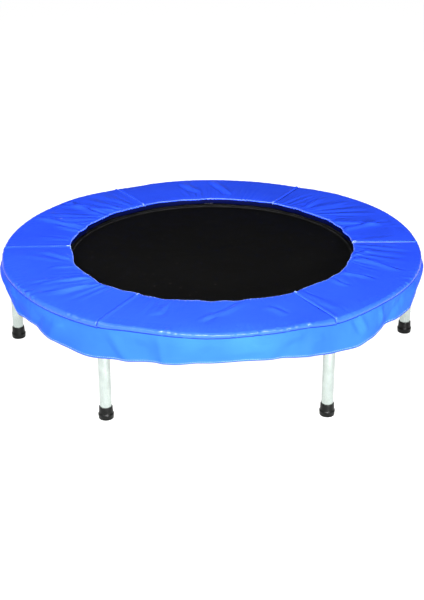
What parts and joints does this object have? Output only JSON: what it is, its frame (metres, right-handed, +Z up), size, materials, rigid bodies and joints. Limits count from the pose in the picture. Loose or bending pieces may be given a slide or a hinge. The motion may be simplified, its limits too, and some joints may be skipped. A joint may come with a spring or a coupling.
{
  "type": "mini trampoline",
  "caption": "Round mini trampoline: a steel tube ring on screw-in legs with rubber feet, a black woven mat hung on coil springs, and a blue padded vinyl cover with a skirt.",
  "frame": {"origin": "on the floor, under the middle of the mat", "axes": "+Z up, +X through leg 1; the legs stand 60 degrees apart"},
  "size_m": [0.965, 0.965, 0.23],
  "materials": {
    "plated_steel": "polished",
    "spring_steel": "satin",
    "foot_rubber": "satin",
    "mat_weave": "matte",
    "edge_webbing": "matte",
    "pad_vinyl": "gloss",
    "pad_foam": "matte"
  },
  "bodies": {
    "frame": {"frame_ring": "plated_steel", "leg_socket_1": "plated_steel", "leg_socket_2": "plated_steel", "leg_socket_3": "plated_steel", "leg_socket_4": "plated_steel", "leg_socket_5": "plated_steel", "leg_socket_6": "plated_steel", "pad_cover": "pad_vinyl", "pad_foam": "pad_foam", "pad_skirt": "pad_vinyl", "spring_01": "spring_steel", "spring_02": "spring_steel", "spring_03": "spring_steel", "spring_04": "spring_steel", "spring_05": "spring_steel", "spring_06": "spring_steel", "spring_07": "spring_steel", "spring_08": "spring_steel", "spring_09": "spring_steel", "spring_10": "spring_steel", "spring_11": "spring_steel", "spring_12": "spring_steel", "spring_13": "spring_steel", "spring_14": "spring_steel", "spring_15": "spring_steel", "spring_16": "spring_steel", "spring_17": "spring_steel", "spring_18": "spring_steel", "spring_19": "spring_steel", "spring_20": "spring_steel", "spring_21": "spring_steel", "spring_22": "spring_steel", "spring_23": "spring_steel", "spring_24": "spring_steel", "spring_25": "spring_steel", "spring_26": "spring_steel", "spring_27": "spring_steel", "spring_28": "spring_steel", "spring_29": "spring_steel", "spring_30": "spring_steel"},
    "mat": {"mat": "mat_weave", "mat_edge_band": "edge_webbing"},
    "leg_washer_1": {"leg_washer_1": "spring_steel"},
    "leg_1": {"leg_1": "plated_steel", "foot_1": "foot_rubber"},
    "leg_washer_2": {"leg_washer_2": "spring_steel"},
    "leg_2": {"leg_2": "plated_steel", "foot_2": "foot_rubber"},
    "leg_washer_3": {"leg_washer_3": "spring_steel"},
    "leg_3": {"leg_3": "plated_steel", "foot_3": "foot_rubber"},
    "leg_washer_4": {"leg_washer_4": "spring_steel"},
    "leg_4": {"leg_4": "plated_steel", "foot_4": "foot_rubber"},
    "leg_washer_5": {"leg_washer_5": "spring_steel"},
    "leg_5": {"leg_5": "plated_steel", "foot_5": "foot_rubber"},
    "leg_washer_6": {"leg_washer_6": "spring_steel"},
    "leg_6": {"leg_6": "plated_steel", "foot_6": "foot_rubber"}
  },
  "joints": [
    {"name": "mat_bounce", "type": "slide", "parent": "frame", "child": "mat", "axis": [0, 0, 1], "range_m": [-0.06, 0], "stiffness_N_per_m": 20000, "deforming": ["spring_01", "spring_02", "spring_03", "spring_04", "spring_05", "spring_06", "spring_07", "spring_08", "spring_09", "spring_10", "spring_11", "spring_12", "spring_13", "spring_14", "spring_15", "spring_16", "spring_17", "spring_18", "spring_19", "spring_20", "spring_21", "spring_22", "spring_23", "spring_24", "spring_25", "spring_26", "spring_27", "spring_28", "spring_29", "spring_30"]},
    {"name": "leg_1_lower", "type": "slide", "parent": "frame", "child": "leg_washer_1", "axis": [0, 0, -1], "range_m": [0, 0.0135]},
    {"name": "leg_1_screw", "type": "hinge", "parent": "leg_washer_1", "child": "leg_1", "pos_m": [0.4625, 0, 0.172], "axis": [0, 0, -1], "range_deg": [0, 3300]},
    {"name": "leg_2_lower", "type": "slide", "parent": "frame", "child": "leg_washer_2", "axis": [0, 0, -1], "range_m": [0, 0.0135]},
    {"name": "leg_2_screw", "type": "hinge", "parent": "leg_washer_2", "child": "leg_2", "pos_m": [0.23125, 0.40054, 0.172], "axis": [0, 0, -1], "range_deg": [0, 3300]},
    {"name": "leg_3_lower", "type": "slide", "parent": "frame", "child": "leg_washer_3", "axis": [0, 0, -1], "range_m": [0, 0.0135]},
    {"name": "leg_3_screw", "type": "hinge", "parent": "leg_washer_3", "child": "leg_3", "pos_m": [-0.23125, 0.40054, 0.172], "axis": [0, 0, -1], "range_deg": [0, 3300]},
    {"name": "leg_4_lower", "type": "slide", "parent": "frame", "child": "leg_washer_4", "axis": [0, 0, -1], "range_m": [0, 0.0135]},
    {"name": "leg_4_screw", "type": "hinge", "parent": "leg_washer_4", "child": "leg_4", "pos_m": [-0.4625, 0, 0.172], "axis": [0, 0, -1], "range_deg": [0, 3300]},
    {"name": "leg_5_lower", "type": "slide", "parent": "frame", "child": "leg_washer_5", "axis": [0, 0, -1], "range_m": [0, 0.0135]},
    {"name": "leg_5_screw", "type": "hinge", "parent": "leg_washer_5", "child": "leg_5", "pos_m": [-0.23125, -0.40054, 0.172], "axis": [0, 0, -1], "range_deg": [0, 3300]},
    {"name": "leg_6_lower", "type": "slide", "parent": "frame", "child": "leg_washer_6", "axis": [0, 0, -1], "range_m": [0, 0.0135]},
    {"name": "leg_6_screw", "type": "hinge", "parent": "leg_washer_6", "child": "leg_6", "pos_m": [0.23125, -0.40054, 0.172], "axis": [0, 0, -1], "range_deg": [0, 3300]}
  ],
  "couplings": [
    {"joint": "leg_1_screw", "follows": "leg_1_lower", "rad_per_m": 4188.8},
    {"joint": "leg_2_screw", "follows": "leg_2_lower", "rad_per_m": 4188.8},
    {"joint": "leg_3_screw", "follows": "leg_3_lower", "rad_per_m": 4188.8},
    {"joint": "leg_4_screw", "follows": "leg_4_lower", "rad_per_m": 4188.8},
    {"joint": "leg_5_screw", "follows": "leg_5_lower", "rad_per_m": 4188.8},
    {"joint": "leg_6_screw", "follows": "leg_6_lower", "rad_per_m": 4188.8}
  ]
}
